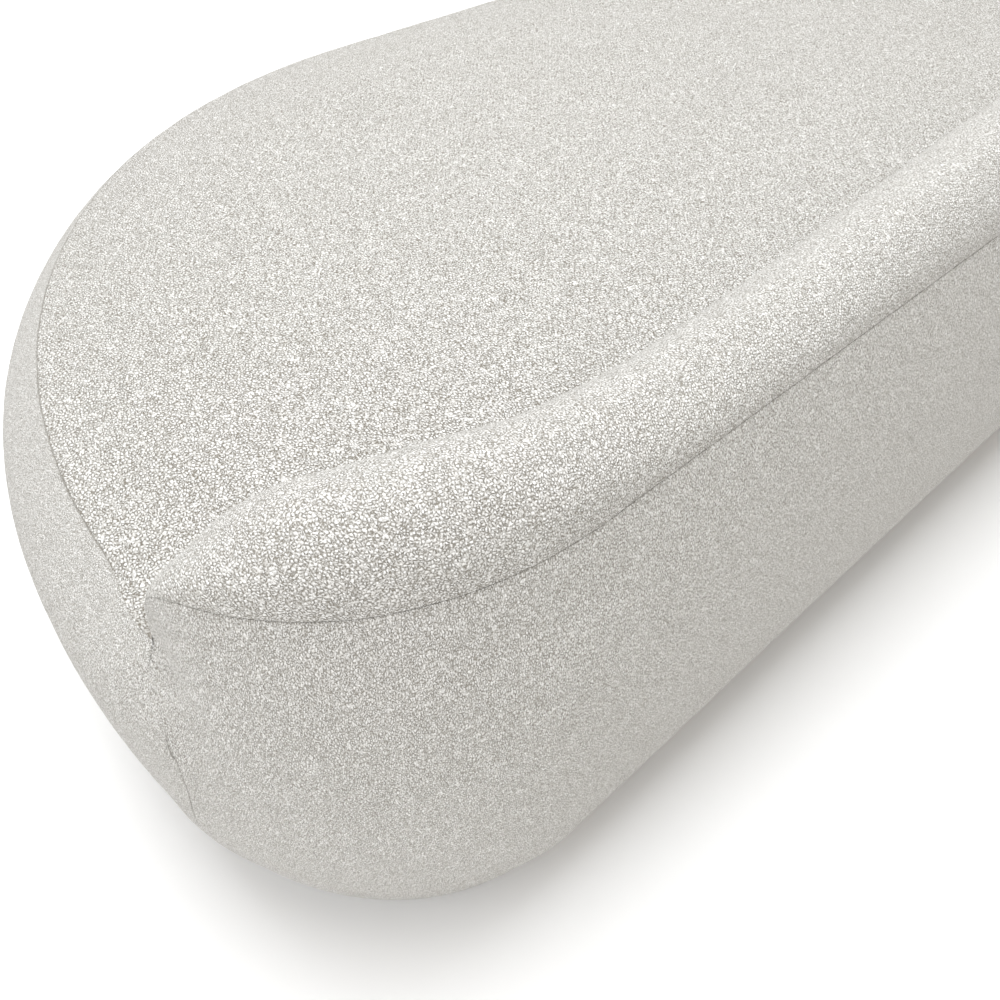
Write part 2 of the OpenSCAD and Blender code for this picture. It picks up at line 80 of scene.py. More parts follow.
HEM_IN = 0.130                            # how far the hem reaches under the body
HEM_LIFT, HEM_TURN = 0.003, 0.009         # the wall ends this high, and the hem starts this far in
LEAN, LEAN_Z = 0.037, 0.326               # how far the upright end seam bows back, and where
LEAN_UP, LEAN_DOWN, LEAN_FADE = 0.066, 0.222, 0.130

TURN_LEN = [r * EIGHTH for r in TURNS]
END_S = sum(TURN_LEN)
STARTS = [k * EIGHTH for k in range(4)]
HALF_D = -sum(r * (math.cos(a + EIGHTH) - math.cos(a)) for r, a in zip(TURNS, STARTS)) / 2
REAR_X = HALF_L - TURNS[0] * math.sin(EIGHTH) - TURNS[1] * (1 - math.sin(EIGHTH))
FRONT_X = REAR_X + sum(r * (math.sin(a + EIGHTH) - math.sin(a)) for r, a in zip(TURNS, STARTS))
FRONT_MIDDLE = END_S + FRONT_X
CORNER_S = NOSE_S - NOSE_RUN
NOTCH_IN = SHOULDER_IN - NOTCH_OUT


# ---- plan outline: s is the distance round the rim from the end of the straight back ----

def heading(s):
    """Angle turned at each s, from 0 on the straight back to pi on the straight front."""
    a = np.zeros_like(s)
    start = 0.0
    for r, length in zip(TURNS, TURN_LEN):
        a += np.clip(s - start, 0, length) / r
        start += length
    return a


def rim(s):
    """Points x, y and outward normals of the widest outline, for distances s on the right half."""
    a = heading(s)
    x = REAR_X + np.minimum(s, 0) - np.maximum(s - END_S, 0)
    y = np.full_like(s, HALF_D)
    for r, a0 in zip(TURNS, STARTS):
        t = np.clip(a, a0, a0 + EIGHTH)
        x = x + r * (np.sin(t) - math.sin(a0))
        y = y + r * (np.cos(t) - math.cos(a0))
    return np.stack([x, y, np.sin(a), np.cos(a)], axis=-1)


def smooth(t):
    w = np.clip(t, 0, 1)
    return w * w * (3 - 2 * w)


def arch(t):
    w = np.clip(t, 0, 1)
    return np.sqrt(1 - w * w)


def middle(s):
    return smooth(-s / REAR_X)


def bulge(s):
    return BULB * np.exp(-((s - BULB_S) / BULB_RUN) ** 2)


def shoulder(s):
    return SHOULDER_IN - NOTCH_OUT * (1 - smooth((s - NOSE_S) / NOTCH_RUN))


def wall_inset(s, z):
    """Inset of the upright walls: the front band's, and the outer back's before the nose."""
    down = np.clip((GIRTH_Z - z) / (GIRTH_Z - UNDER_Z), 0, 1)
    band_up = np.clip((z - GIRTH_Z) / (SEAM_Z - GIRTH_Z), 0, 1)
    back_up = np.maximum(z - GIRTH_Z, 0) / (BACK_Z - GIRTH_Z)
    b = smooth((s - NOSE_S + SEAM_ROLL) / SEAM_ROLL)
    return FOOT_IN * down ** 2.5 + b * shoulder(s) * band_up ** 2 + (1 - b) * BACK_IN * back_up ** 2


def full_height(s):
    return BACK_Z - (BACK_Z - NOSE_Z) * smooth(s / DROP_RUN)


def seam_height(s):
    return SEAM_Z + (full_height(s) - SEAM_Z) * arch((s - NOSE_S + SEAM_ROLL) / SEAM_ROLL)


def crest_height(s):
    rise = CROWN_RISE + CROWN_SWELL * middle(s) + bulge(s)
    return SEAM_Z + (full_height(s) + rise - SEAM_Z) * arch((s - NOSE_S + NOSE_ROLL) / NOSE_ROLL)


def foot_inset(s):
    back = BACK_T + BACK_SWELL * middle(s) + bulge(s) - shoulder(s)
    return shoulder(s) + back * arch((s - CORNER_S) / NOSE_RUN) * (s < NOSE_S)


def seat_height(d):
    return CROWN_Z - (CROWN_Z - SEAM_Z) * (1 - np.clip((d - SHOULDER_IN) / CROWN_RUN, 0, 1)) ** 2


def back_point(s, t):
    """Inset and height of the back's surface: t runs 0 to 1 over the crown and 1 to 2 down inside."""
    h = seam_height(s)
    foot = foot_inset(s)
    a = wall_inset(s, h)
    c = np.minimum(CREST_IN, (foot - a) / 2)
    r = np.maximum(crest_height(s) - h, 0.2 * (h - SEAM_Z))
    low = seat_height(foot) - BACK_LOW
    w = foot - a - c
    p = 2 / FULLNESS
    over = t <= 1
    up = np.clip(t, 0, 1) * math.pi / 2
    down = np.clip(t - 1, 0, 1) * math.pi / 2
    d = np.where(over, a + c * (1 - np.cos(up)), a + c + w * np.sin(down) ** p)
    z = np.where(over, h + r * np.sin(up), low + (h + r - low) * np.maximum(np.cos(down), 0) ** p)
    return d, z


def seam_shift(s, z):
    """How far the walls' stations move back along the rim, so that the end seam bows with height."""
    above = 1 - np.clip((z - LEAN_Z) / LEAN_UP, 0, 1) ** 2
    below = 0.5 + 0.5 * np.cos(math.pi * np.clip((LEAN_Z - z) / LEAN_DOWN, 0, 1))
    bow = np.where(z > LEAN_Z, above, below)
    return LEAN * bow * (1 - smooth(np.abs(s - NOSE_S) / LEAN_FADE))


# ---- grids of points ----

CELL = 0.008            # spacing of stations round the rim
EDGE = np.array([0, 0.0005, 0.0012, 0.0022, 0.0036, 0.0056, 0.0085])   # beside a sewn edge
SECTION = 260           # points by which a section is first traced
HEM_POINTS = 12
BAND_ROWS, OUTER_ROWS, BACK_ROWS = 54, 62, 40
SEAT_ROWS = 26          # rows from the seat's edge to its flat middle, and rings over that middle
SEAT_RINGS = 28
ROUND_STATIONS = 44     # stations round the back's end


def place(st, d, z):
    """Points at insets d and heights z from stations st."""
    return np.stack([st[..., 0] - d * st[..., 2], st[..., 1] - d * st[..., 3],
                     z + 0 * st[..., 0]], axis=-1)


def steps(a, b, fine_start=False, fine_end=False):
    """Values from a to b about CELL apart, and closer beside a sewn edge."""
    first = a + EDGE if fine_start else np.array([a])
    last = b - EDGE[::-1] if fine_end else np.array([b])
    n = max(2, int(math.ceil((last[0] - first[-1]) / CELL)))
    return np.concatenate([first, np.linspace(first[-1], last[0], n + 1)[1:-1], last])


def resample(rows, n, fine_start, fine_end):
    """Points along each row at even steps, and closer beside a sewn edge."""
    step = np.linalg.norm(np.diff(rows, axis=1), axis=2)
    run = np.concatenate([np.zeros((len(rows), 1)), np.cumsum(step, axis=1)], axis=1)
    out = []
    for row, along in zip(rows, run):
        length = along[-1]
        edge = EDGE * min(1.0, length / (5 * EDGE[-1]))
        first = edge if fine_start else edge[:1]
        last = length - (edge[::-1] if fine_end else edge[:1])
        at = np.concatenate([first, np.linspace(first[-1], last[0], n + 1)[1:-1], last])
        out.append(np.stack([np.interp(at, along, row[:, k]) for k in range(3)], axis=1))
    return np.array(out)


def both_ends(half):
    """Rows from the left end round to the right end, from those of the right half."""
    return np.concatenate([half[::-1][:-1] * np.array([-1.0, 1.0, 1.0]), half])


def hem_points(s):
    """Insets and heights of the hem that turns under the body, per station."""
    d = np.linspace(HEM_IN, FOOT_IN + HEM_TURN, HEM_POINTS)
    return np.broadcast_to(d, (len(s), HEM_POINTS)), np.full((len(s), HEM_POINTS), UNDER_Z)


def wall_rows(s, top):
    """Rows of a wall from its hem up to its seam, with the end seam bowed."""
    low = UNDER_Z + HEM_LIFT
    z = low + (top[:, None] - low) * np.linspace(0, 1, SECTION)
    shifted = s[:, None] - seam_shift(s[:, None], z)
    wall = place(rim(shifted), wall_inset(shifted, z), z)
    hem_d, hem_z = hem_points(s)
    hem = place(rim(shifted[:, :1] + 0 * hem_d), hem_d, hem_z)
    return np.concatenate([hem, wall], axis=1)


def band_grid():
    s = steps(NOSE_S, FRONT_MIDDLE, fine_start=True)
    half = resample(wall_rows(s, np.full_like(s, SEAM_Z)), BAND_ROWS, False, True)
    return both_ends(half[::-1])


def back_stations():
    round_off = CORNER_S + NOSE_RUN * np.sin(np.linspace(0, math.pi / 2, ROUND_STATIONS)[:-1])
    return np.concatenate([steps(-REAR_X, CORNER_S)[:-1], round_off])


def outer_grid():
    s = np.concatenate([steps(-REAR_X, NOSE_S - SEAM_ROLL)[:-1],
                        steps(NOSE_S - SEAM_ROLL, NOSE_S, fine_end=True)])
    return both_ends(resample(wall_rows(s, seam_height(s)), OUTER_ROWS, False, True))


def back_grid():
    s = back_stations()
    d, z = back_point(s[:, None], np.linspace(0, 2, SECTION)[None, :])
    return both_ends(resample(place(rim(s)[:, None, :], d, z), BACK_ROWS, True, False))


def seat_grid():
    """Closed loops from the seat's edge to its middle, and the middle point."""
    s = np.concatenate([back_stations(), steps(NOSE_S, FRONT_MIDDLE)])
    foot = foot_inset(s)[:, None]
    flat = SHOULDER_IN + CROWN_RUN + 0.004
    t = np.linspace(0, 1, SECTION)[None, :]
    d = foot + (flat - foot) * t
    half = resample(place(rim(s)[:, None, :], d, seat_height(d)), SEAT_ROWS, True, False)
    full = np.concatenate([half, half[::-1][1:-1] * np.array([-1.0, 1.0, 1.0])])
    edge = full[:, -1, :]
    hub = np.array([0, 0, CROWN_Z])
    share = np.linspace(0, 1, SEAT_RINGS)[1:-1, None]
    inner = edge[:, None, :] * (1 - share) + hub * share
    return np.concatenate([full, inner], axis=1), hub


# ---- upholstery: slack from cloth simulation, sewn edges, and the pile's small lumps ----

SWELL, SWELL_RUN = 0.0040, 0.050   # away from its seams a cover lies this far in, less its swell
TRIAL_STEP = 3          # the cloth takes every third row and column
TRIAL_FRAMES = 20
TRIAL_PRESSURE = 4
HELD = 0.006            # the cloth is held this close to its seams
SEAM_SINK = 0.0017      # depth to which a sewn edge rolls in
SEAM_ROUND = 0.0024
VALLEY, VALLEY_RUN = 0.0011, 0.010
SEAM_SHADE = 0.0011     # half width of the painted shade line along a seam's groove
BACK_SEAM = 0.22        # the back's top seam is pressed nearly flat
NOTCH_STILL, NOTCH_BLEND = 0.025, 0.065   # seams fade out over this length before a notch
# strength and run of the painted shade at the seat's tip by each notch
NOTCH_SHADE, NOTCH_SHADE_RUN = 0.80, 0.021
PUCKER, PUCKER_RUN, PUCKER_SCALE, PUCKER_SEED = 0.0005, 0.016, 34.0, 3
LUMP, LUMP_SCALE, LUMP_SEED = 0.0002, 32.0, 8
PILE_T = 0.002          # thickness of the fabric with its backing
WELD_GAP = 0.00005


def grid_normals(rows, wrap, sign):
    if wrap:
        du = np.roll(rows, -1, axis=0) - np.roll(rows, 1, axis=0)
    else:
        du = np.gradient(rows, axis=0)
    n = np.cross(np.gradient(rows, axis=1), du) * sign
    size = np.linalg.norm(n, axis=2, keepdims=True)
    return n / np.maximum(size, 1e-12)


def edge_distance(rows, edges):
    """Distance of each point to the nearest of the sewn edges."""
    n, m = rows.shape[:2]
    along_v = np.linalg.norm(np.diff(rows, axis=1), axis=2)
    along_u = np.linalg.norm(np.diff(rows, axis=0), axis=2)
    out = np.full((n, m), 1.0)
    if "v0" in edges:
        out = np.minimum(out, np.concatenate([np.zeros((n, 1)), np.cumsum(along_v, 1)], 1))
    if "v1" in edges:
        back = np.cumsum(along_v[:, ::-1], 1)[:, ::-1]
        out = np.minimum(out, np.concatenate([back, np.zeros((n, 1))], 1))
    if "u" in edges:
        ahead = np.concatenate([np.zeros((1, m)), np.cumsum(along_u, 0)], 0)
        back = np.concatenate([np.cumsum(along_u[::-1], 0)[::-1], np.zeros((1, m))], 0)
        out = np.minimum(out, np.minimum(ahead, back))
    return out


def seam_depth(distance):
    inside = np.clip(SEAM_ROUND - distance, 0, SEAM_ROUND)
    roll = 1 - np.sqrt(1 - (inside / SEAM_ROUND) ** 2)
    return SEAM_SINK * roll + VALLEY * np.exp(-(distance / VALLEY_RUN) ** 2)


def notch_distance(rows):
    """Distance of each point to the notch on its own side of the sofa."""
    notch = place(rim(np.array([NOSE_S]))[0], NOTCH_IN, SEAM_Z)
    return np.linalg.norm(rows * np.where(rows[..., :1] < 0, [-1, 1, 1], 1) - notch, axis=2)


def noise_field(rows, scale, seed):
    off = Vector((seed, 2.0 * seed, 3.0 * seed))
    flat = [noise.noise(Vector(p) * scale + off) for p in rows.reshape(-1, 3)]
    return np.array(flat).reshape(rows.shape[:2])


def grid_faces(n, m, wrap, sign):
    rows = n if wrap else n - 1
    out = [(i * m + j, i * m + j + 1, (i + 1) % n * m + j + 1, (i + 1) % n * m + j)
           for i in range(rows) for j in range(m - 1)]
    return out if sign > 0 else [f[::-1] for f in out]


def add_mesh(name, verts, faces):
    me = bpy.data.meshes.new(name)
    me.from_pydata([tuple(v) for v in verts], [], faces)
    me.validate()
    me.polygons.foreach_set("use_smooth", [True] * len(me.polygons))
    ob = bpy.data.objects.new(name, me)
    scene.collection.objects.link(ob)
    return ob


def modify(ob, kind, **settings):
    mod = ob.modifiers.new(kind.lower(), kind)
    for key, value in settings.items():
        setattr(mod, key, value)
    with bpy.context.temp_override(object=ob, active_object=ob, selected_objects=[ob]):
        bpy.ops.object.modifier_apply(modifier=mod.name)


def simulated_swell(rows, normals, distance, wrap, sign):
    """Outward swell of each point, from a cloth held along its seams and blown from inside."""
    n, m = rows.shape[:2]
    pick_u = np.arange(0, n, TRIAL_STEP)
    if not wrap:
        pick_u = np.unique(np.append(pick_u, n - 1))
    pick_v = np.unique(np.append(np.arange(0, m, TRIAL_STEP), m - 1))
    picked = np.ix_(pick_u, pick_v)
    coarse = rows[picked]
    held = distance[picked] < HELD
    held[:, 0] = held[:, -1] = True
    faces = grid_faces(len(pick_u), len(pick_v), wrap, sign)
    ob = add_mesh("cloth_trial", coarse.reshape(-1, 3), faces)
    group = ob.vertex_groups.new(name="held")
    group.add([int(i) for i in np.flatnonzero(held.reshape(-1))], 1.0, "REPLACE")
    mod = ob.modifiers.new("cloth", "CLOTH")
    cloth = mod.settings
    cloth.quality = 6
    cloth.mass = 0.4
    cloth.tension_stiffness = 30
    cloth.compression_stiffness = 20
    cloth.bending_stiffness = 2.0
    cloth.vertex_group_mass = "held"
    cloth.use_pressure = True
    cloth.uniform_pressure_force = TRIAL_PRESSURE
    cloth.shrink_min = -0.004
    cloth.effector_weights.gravity = 0
    for frame_number in range(1, TRIAL_FRAMES + 1):
        scene.frame_set(frame_number)
    done = ob.evaluated_get(bpy.context.evaluated_depsgraph_get()).to_mesh()
    coords = np.zeros(coarse.size)
    done.vertices.foreach_get("co", coords)
    moved = coords.reshape(coarse.shape) - coarse
    out = np.clip((moved * normals[picked]).sum(2), 0, SWELL)
    bpy.data.objects.remove(ob)
    scene.frame_set(1)
    if wrap:
        pick_u = np.append(pick_u, n)
        out = np.concatenate([out, out[:1]])
    across = np.array([np.interp(np.arange(m), pick_v, row) for row in out])
    return np.array([np.interp(np.arange(n), pick_u, across[:, j]) for j in range(m)]).T


def upholster(name, rows, edges, top_seam=1.0, wrap=False, sign=1, hub=None):
    """A padded panel: its measured surface, swollen between its seams, rolled in at sewn edges."""
    normals = grid_normals(rows, wrap, sign)
    distance = edge_distance(rows, edges)
    swell = simulated_swell(rows, normals, distance, wrap, sign)
    along_top = edge_distance(rows, [e for e in edges if e != "u"])
    along_end = edge_distance(rows, [e for e in edges if e == "u"])
    away = notch_distance(rows)
    calm = smooth((away - NOTCH_STILL) / NOTCH_BLEND)
    depth = calm * np.maximum(top_seam * seam_depth(along_top), seam_depth(along_end))
    # painted shade along the seams' grooves, kept per point to darken the wool
    shade = calm * np.maximum(top_seam * np.exp(-(along_top / SEAM_SHADE) ** 2),
                              np.exp(-(along_end / SEAM_SHADE) ** 2))
    if hub is not None:     # the seat's tip at each notch gets painted shade
        shade = np.maximum(shade, NOTCH_SHADE * np.exp(-(away / NOTCH_SHADE_RUN) ** 2))
    sunk = (SWELL - swell) * smooth(distance / SWELL_RUN)
    pucker = PUCKER * noise_field(rows, PUCKER_SCALE, PUCKER_SEED) * np.exp(-distance / PUCKER_RUN)
    lump = LUMP * noise_field(rows, LUMP_SCALE, LUMP_SEED)
    out = calm * (pucker + lump - sunk) - depth
    verts = (rows + normals * out[:, :, None]).reshape(-1, 3)
    shade = shade.reshape(-1)
    n, m = rows.shape[:2]
    faces = grid_faces(n, m, wrap, sign)
    if hub is not None:
        verts = np.concatenate([verts, [hub]])
        shade = np.append(shade, 0.0)
        fan = [(i * m + m - 1, n * m, (i + 1) % n * m + m - 1) for i in range(n)]
        faces += fan if sign > 0 else [f[::-1] for f in fan]
    ob = add_mesh(name, verts, faces)
    # the painted seam and notch shade is stored per point for the wool material
    painted_shade = ob.data.attributes.new("painted_shade", "FLOAT", "POINT")
    painted_shade.data.foreach_set("value", shade.astype(np.float32))
    modify(ob, "WELD", merge_threshold=WELD_GAP)
    modify(ob, "SOLIDIFY", thickness=PILE_T, offset=-1, use_even_offset=False)
    return ob


# ---- procedural materials ----

class Graph:
    """Shader nodes of one material, with short calls to add and join them."""

    def __init__(self, name):
        self.mat = bpy.data.materials.new(name)
        self.mat.use_nodes = True
        self.nodes = self.mat.node_tree.nodes
        self.links = self.mat.node_tree.links
        self.shader = self.nodes["Principled BSDF"]
        self.place = self.add("ShaderNodeTexCoord").outputs["Object"]

    def add(self, kind, **settings):
        node = self.nodes.new(kind)
        for key, value in settings.items():
            setattr(node, key, value)
        return node

    def feed(self, socket, value):
        if isinstance(value, bpy.types.NodeSocket):
            self.links.new(value, socket)
        else:
            socket.default_value = value

    def scaled(self, vector, scale, turn=(0.0, 0.0, 0.0)):
        node = self.add("ShaderNodeMapping")
        self.feed(node.inputs["Vector"], vector)
        node.inputs["Scale"].default_value = scale
        node.inputs["Rotation"].default_value = turn
        return node.outputs["Vector"]

    def noise(self, vector, scale, detail=2.0, rough=0.5, colour=False):
        node = self.add("ShaderNodeTexNoise")
        self.feed(node.inputs["Vector"], vector)
        node.inputs["Scale"].default_value = scale
        node.inputs["Detail"].default_value = detail
        node.inputs["Roughness"].default_value = rough
        return node.outputs["Color" if colour else "Fac"]

    def cells(self, vector, scale, feature="F1", output="Distance", wander=1.0):
        node = self.add("ShaderNodeTexVoronoi", feature=feature)
        self.feed(node.inputs["Vector"], vector)
        node.inputs["Scale"].default_value = scale
        node.inputs["Randomness"].default_value = wander
        return node.outputs[output]

    def wave(self, vector, scale, distortion=0.0, direction="X"):
        node = self.add("ShaderNodeTexWave", bands_direction=direction)
        self.feed(node.inputs["Vector"], vector)
        node.inputs["Scale"].default_value = scale
        node.inputs["Distortion"].default_value = distortion
        node.inputs["Detail"].default_value = 2.0
        return node.outputs["Fac"]

    def math(self, operation, a, b=0.0):
        node = self.add("ShaderNodeMath", operation=operation)
        self.feed(node.inputs[0], a)
        self.feed(node.inputs[1], b)
        return node.outputs[0]

    def span(self, value, low, high, to_low=0.0, to_high=1.0):
        node = self.add("ShaderNodeMapRange", interpolation_type="SMOOTHSTEP")
        self.feed(node.inputs["Value"], value)
        limits = {"From Min": low, "From Max": high, "To Min": to_low, "To Max": to_high}
        for key, number in limits.items():
            node.inputs[key].default_value = number
        return node.outputs["Result"]

    def mix(self, share, a, b):
        node = self.add("ShaderNodeMix", data_type="RGBA")
        self.feed(node.inputs["Factor"], share)
        for socket, value in ((node.inputs[6], a), (node.inputs[7], b)):
            self.feed(socket, value if isinstance(value, bpy.types.NodeSocket) else (*value, 1.0))
        return node.outputs[2]

    def shift(self, vector, scale, amount):
        """The place moved about by noise, so that a pattern wanders."""
        wobble = self.add("ShaderNodeVectorMath", operation="MULTIPLY_ADD")
        self.feed(wobble.inputs[0], self.noise(vector, scale, colour=True))
        wobble.inputs[1].default_value = (amount,) * 3
        self.feed(wobble.inputs[2], vector)
        return wobble.outputs["Vector"]

    def finish(self, colour, rough, height=None, depth=0.001, strength=1.0, **fixed):
        self.feed(self.shader.inputs["Base Color"], colour)
        self.feed(self.shader.inputs["Roughness"], rough)
        for key, value in fixed.items():
            self.shader.inputs[key.replace("_", " ")].default_value = value
        if height is not None:
            bump = self.add("ShaderNodeBump")
            bump.inputs["Distance"].default_value = depth
            bump.inputs["Strength"].default_value = strength
            self.feed(bump.inputs["Height"], height)
            self.feed(self.shader.inputs["Normal"], bump.outputs["Normal"])
        return self.mat


LIGHT_YARN = (0.97, 0.962, 0.942)
WARM_YARN = (0.84, 0.822, 0.79)
GAP_SHADE = (0.19, 0.168, 0.132)
SLUB = (0.97, 0.965, 0.95)
WOOL_TURN = (0.62, 0.41, 0.30)       # keeps the loops' rows from lining up with level surfaces
WOOL_WANDER = 0.85                   # how unevenly the loops lie
LOOP_SHIFT_SCALE, LOOP_SHIFT = 70.0, 0.0035


def boucle(name, stretch, pitch, gap_share):
    """Looped wool: rounded loops, short gaps between them painted dark as shade, and fluffy white slubs.
    """
    g = Graph(name)
    place = g.shift(g.scaled(g.place, stretch, WOOL_TURN), LOOP_SHIFT_SCALE, LOOP_SHIFT)
    loop = g.cells(place, 1 / pitch, wander=WOOL_WANDER)
    tone = g.cells(place, 1 / pitch, output="Color", wander=WOOL_WANDER)
    seam = g.cells(place, 1 / pitch, feature="DISTANCE_TO_EDGE", wander=WOOL_WANDER)
    fleck = g.noise(g.place, 1.6 / pitch, detail=2.0, rough=0.7)
    slub = g.span(g.noise(place, 0.6 / pitch, detail=1.0), 0.60, 0.72)
    gap = g.math("MULTIPLY", g.span(seam, 0.05, 0.26, 1.0, 0.0), g.span(fleck, 0.40, 0.60, 1.0, 0.45))
    gap = g.math("MULTIPLY", gap, g.span(slub, 0.0, 1.0, gap_share, 0.45 * gap_share))
    body = g.mix(g.span(tone, 0.15, 0.85), WARM_YARN, LIGHT_YARN)
    body = g.mix(g.span(fleck, 0.36, 0.62), tuple(0.84 * c for c in WARM_YARN), body)
    body = g.mix(g.math("MULTIPLY", slub, 0.35), body, SLUB)
    # painted shade in the gaps between the loops
    colour = g.mix(gap, body, GAP_SHADE)
    # painted shade in the seams and at the notch tips, mixed toward GAP_SHADE
    painted_shade = g.add("ShaderNodeAttribute", attribute_name="painted_shade").outputs["Fac"]
    colour = g.mix(g.math("MULTIPLY", painted_shade, 0.75), colour, GAP_SHADE)
    dome = g.span(loop, 0.0, 0.62, 1.0, 0.0)
    height = g.math("ADD", g.math("MULTIPLY", dome, 0.7), g.math("MULTIPLY", fleck, 0.35))
    height = g.math("SUBTRACT", height, g.math("MULTIPLY", gap, 0.6))
    rough = g.span(fleck, 0.3, 0.7, 0.88, 1.0)
    return g.finish(colour, rough, height, depth=0.5 * pitch, strength=1.0,
                    Sheen_Weight=0.2, Sheen_Roughness=0.6, Specular_IOR_Level=0.12)


def timber(name, light, dark, along, ring, gloss):
    """Solid wood with growth rings, streaks and pores along one axis."""
    g = Graph(name)
    streaky = g.scaled(g.place, tuple(0.09 if k == along else 1.0 for k in range(3)))
    bent = g.shift(streaky, 9.0, 0.03)
    rings = g.wave(bent, ring, distortion=2.5, direction="X" if along != 0 else "Y")
    pores = g.noise(g.scaled(g.place, tuple(0.05 if k == along else 1.0 for k in range(3))),
                    900.0, detail=2.0)
    colour = g.mix(g.span(rings, 0.2, 0.9), light, dark)
    colour = g.mix(g.span(pores, 0.55, 0.75, 0.0, 0.35), colour, tuple(0.55 * c for c in dark))
    colour = g.mix(g.span(g.noise(g.place, 14.0), 0.35, 0.7, 0.0, 0.25), colour, dark)
    rough = g.span(pores, 0.4, 0.8, gloss, gloss + 0.25)
    return g.finish(colour, rough, pores, depth=0.0003, strength=0.35)


def plywood(name):
    """Birch plywood: thin plies in the edge, long soft figure on the faces."""
    g = Graph(name)
    plies = g.wave(g.place, 110.0, distortion=0.3, direction="Z")
    figure = g.noise(g.scaled(g.place, (0.6, 6.0, 6.0)), 9.0, detail=5.0, rough=0.6)
    grain = g.noise(g.scaled(g.place, (0.08, 1.0, 1.0)), 500.0, detail=2.0)
    colour = g.mix(g.span(figure, 0.3, 0.7), (0.70, 0.56, 0.38), (0.58, 0.43, 0.26))
    colour = g.mix(g.span(plies, 0.55, 0.85, 0.0, 0.30), colour, (0.36, 0.24, 0.14))
    colour = g.mix(g.span(grain, 0.5, 0.8, 0.0, 0.25), colour, (0.42, 0.30, 0.18))
    return g.finish(colour, g.span(grain, 0.3, 0.8, 0.55, 0.8), grain, depth=0.0002, strength=0.3)


def fibre_board(name):
    g = Graph(name)
    fibres = g.noise(g.scaled(g.place, (1.0, 1.0, 0.5)), 700.0, detail=4.0, rough=0.7)
    cloud = g.noise(g.place, 22.0, detail=3.0)
    colour = g.mix(g.span(fibres, 0.3, 0.7), (0.34, 0.23, 0.14), (0.22, 0.14, 0.085))
    colour = g.mix(g.span(cloud, 0.4, 0.7, 0.0, 0.3), colour, (0.42, 0.30, 0.19))
    return g.finish(colour, g.span(fibres, 0.2, 0.8, 0.6, 0.85), fibres, depth=0.0003, strength=0.4)


def metal(name, colour, rough):
    g = Graph(name)
    drawn = g.noise(g.scaled(g.place, (1.0, 0.06, 1.0)), 1200.0, detail=2.0)
    dull = g.noise(g.place, 60.0, detail=3.0)
    shade = g.mix(g.span(dull, 0.35, 0.75, 0.0, 0.35), colour, tuple(0.6 * c for c in colour))
    return g.finish(shade, g.span(drawn, 0.3, 0.7, rough, rough + 0.18), drawn,
                    depth=0.0001, strength=0.25, Metallic=1.0)


def moulded(name, colour):
    g = Graph(name)
    spark = g.noise(g.place, 1500.0, detail=2.0)
    scuff = g.noise(g.scaled(g.place, (1.0, 0.2, 1.0)), 260.0, detail=3.0)
    shade = g.mix(g.span(scuff, 0.55, 0.75, 0.0, 0.4), colour, tuple(0.12 + c for c in colour))
    return g.finish(shade, g.span(scuff, 0.3, 0.8, 0.45, 0.7), spark, depth=0.0001, strength=0.4)


def woven(name, light, dark, pitch, stripe=None):
    """A plain weave of flat yarns that run along X and Y."""
    g = Graph(name)
    turned = g.shift(g.place, 120.0, 0.0006)
    warp = g.wave(turned, 1 / pitch, direction="X")
    weft = g.wave(turned, 1 / pitch, direction="Y")
    yarn = g.math("MULTIPLY", warp, weft)
    fuzz = g.noise(g.place, 1400.0, detail=2.0)
    colour = g.mix(g.span(yarn, 0.1, 0.7), dark, light)
    if stripe:
        band = g.wave(g.place, 5.2, direction="X")
        colour = g.mix(g.span(band, 0.80, 0.86, 0.0, 0.8), colour, stripe)
    colour = g.mix(g.span(fuzz, 0.5, 0.8, 0.0, 0.3), colour, tuple(1.25 * c for c in light))
    return g.finish(colour, g.span(fuzz, 0.3, 0.8, 0.8, 0.97), yarn, depth=0.0006, strength=0.6)


def spongy(name, light, dark, scale, depth):
    """Open foam or loose fibre: pores or tufts at two sizes."""
    g = Graph(name)
    pore = g.cells(g.place, scale)
    tuft = g.noise(g.place, 60.0, detail=5.0, rough=0.65)
    colour = g.mix(g.span(pore, 0.1, 0.6), dark, light)
    colour = g.mix(g.span(tuft, 0.35, 0.65, 0.0, 0.35), colour, tuple(0.88 * c for c in light))
    height = g.math("ADD", pore, tuft)
    return g.finish(colour, g.span(tuft, 0.3, 0.7, 0.85, 1.0), height, depth=depth, strength=0.7)


def felted(name):
    """Spun black dust cloth with bonded dimples."""
    g = Graph(name)
    strands = g.noise(g.scaled(g.place, (1.0, 0.25, 1.0)), 900.0, detail=4.0, rough=0.75)
    dimple = g.cells(g.place, 520.0, wander=0.1)
    colour = g.mix(g.span(strands, 0.3, 0.7), (0.012, 0.012, 0.013), (0.045, 0.045, 0.048))
    colour = g.mix(g.span(g.noise(g.place, 9.0, detail=4.0), 0.45, 0.75, 0.0, 0.3),
                   colour, (0.075, 0.070, 0.062))
    height = g.math("ADD", g.math("MULTIPLY", strands, 0.4), g.span(dimple, 0.0, 0.4))
    return g.finish(colour, g.span(strands, 0.3, 0.7, 0.75, 0.95), height, depth=0.0004, strength=0.5)


